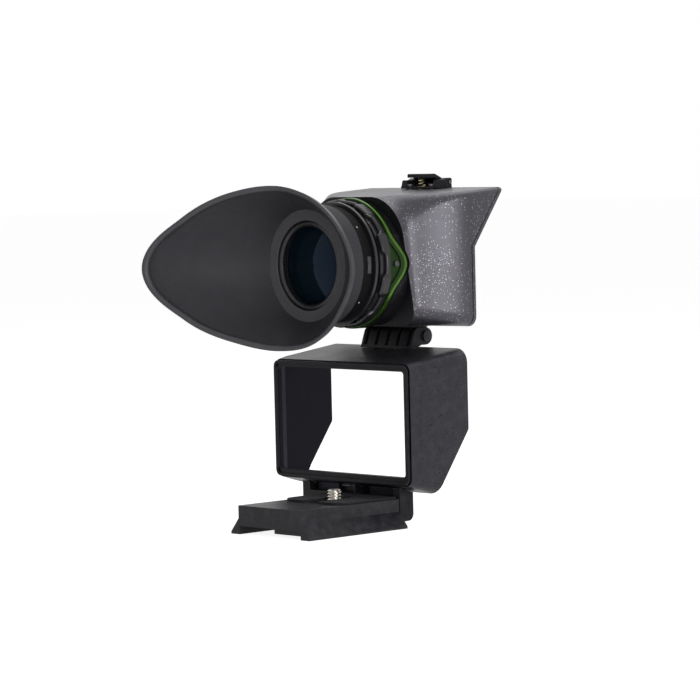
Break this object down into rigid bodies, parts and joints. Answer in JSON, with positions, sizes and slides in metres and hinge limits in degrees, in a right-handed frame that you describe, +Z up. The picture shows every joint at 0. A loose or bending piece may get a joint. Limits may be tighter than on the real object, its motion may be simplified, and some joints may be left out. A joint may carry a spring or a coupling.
{
  "type": "lcd viewfinder loupe",
  "caption": "Flip-up loupe with a winged eyecup and focusing eyepiece on a light-tight body, hinged to a screen frame on a dovetail base with a camera screw.",
  "frame": {"origin": "under the middle of the outline, on the plane of the rails' undersides", "axes": "+X to the right seen from the eye side of the flipped-up loupe, +Y away from the eyecup, +Z up"},
  "size_m": [0.0982, 0.1296, 0.1524],
  "materials": {
    "anodised": "fine satin black anodising",
    "rubber": "soft matte black rubber",
    "plastic": "fine-grained black moulding",
    "gloss": "smooth satin black moulding",
    "steel": "turned steel",
    "brass": "drawn spring wire with a gold-coloured passivation",
    "green": "bright green anodising",
    "glass": "coated optical glass"
  },
  "bodies": {
    "base": {"base_plate": "anodised", "plate_stop": "anodised", "plate_stop_screw": "steel", "base_pad": "rubber", "bracket": "plastic", "bracket_screw_left": "steel", "bracket_screw_right": "steel"},
    "screw_carrier": {"screw_collar": "steel"},
    "camera_screw": {"camera_screw": "steel"},
    "frame": {"lcd_frame": "plastic", "frame_seal": "rubber", "hinge_lower_leaf": "plastic", "hinge_pin": "anodised", "hinge_screw_lower_left": "steel", "hinge_screw_lower_right": "steel"},
    "lock_screw_left": {"lock_screw_left": "anodised"},
    "lock_screw_right": {"lock_screw_right": "anodised"},
    "viewfinder": {"viewfinder_body": "gloss", "hinge_upper_leaf": "plastic", "hinge_screw_upper_left": "steel", "hinge_screw_upper_right": "steel", "light_baffle": "plastic", "mount_ring": "anodised", "accent_ring": "green", "mount_screw_left": "steel", "mount_screw_right": "steel", "latch_base": "plastic", "latch_screw_left": "steel", "latch_screw_right": "steel", "latch_pin": "steel", "latch_spring": "brass"},
    "diopter_ring": {"diopter_ring": "anodised"},
    "eyepiece": {"eyepiece_tube": "anodised", "stop_ring": "anodised", "eye_lens": "glass", "lens_spacer": "anodised", "inner_lens": "glass", "lens_bezel": "anodised"},
    "eyecup": {"eyecup": "rubber"},
    "latch_lever": {"latch_lever": "plastic"}
  },
  "joints": [
    {"name": "screw_slide", "type": "slide", "parent": "base", "child": "screw_carrier", "axis": [0, 1, 0], "range_m": [-0.01, 0.004]},
    {"name": "screw_turn", "type": "hinge", "parent": "screw_carrier", "child": "camera_screw", "pos_m": [0.01605, -0.01371, 0.008], "axis": [0, 0, 1], "continuous": true},
    {"name": "frame_height", "type": "slide", "parent": "base", "child": "frame", "axis": [0, 0, 1], "range_m": [0, 0.0045]},
    {"name": "lock_left_turn", "type": "hinge", "parent": "frame", "child": "lock_screw_left", "pos_m": [-0.0129, 0.01429, 0.0072], "axis": [0, 1, 0], "continuous": true},
    {"name": "lock_right_turn", "type": "hinge", "parent": "frame", "child": "lock_screw_right", "pos_m": [0.0216, 0.01429, 0.0072], "axis": [0, 1, 0], "continuous": true},
    {"name": "viewfinder_flip", "type": "hinge", "parent": "frame", "child": "viewfinder", "pos_m": [0.00435, 0.03969, 0.08097], "axis": [-1, 0, 0], "range_deg": [0, 180]},
    {"name": "diopter_turn", "type": "hinge", "parent": "viewfinder", "child": "diopter_ring", "pos_m": [0.00605, 0.00429, 0.11422], "axis": [0, 1, 0], "range_deg": [-90, 90]},
    {"name": "eyepiece_focus", "type": "slide", "parent": "viewfinder", "child": "eyepiece", "axis": [0, 1, 0], "range_m": [-0.0022, 0.0022]},
    {"name": "eyecup_turn", "type": "hinge", "parent": "eyepiece", "child": "eyecup", "pos_m": [0.00605, -0.01371, 0.11422], "axis": [0, 1, 0], "continuous": true},
    {"name": "latch_press", "type": "hinge", "parent": "viewfinder", "child": "latch_lever", "pos_m": [0.00605, 0.05949, 0.14847], "axis": [1, 0, 0], "range_deg": [0, 14], "stiffness_Nm_per_rad": 0.06, "springref_deg": -14.9, "deforming": ["latch_spring"]}
  ],
  "couplings": [
    {"joint": "eyepiece_focus", "follows": "diopter_turn", "m_per_rad": 0.0014006}
  ]
}
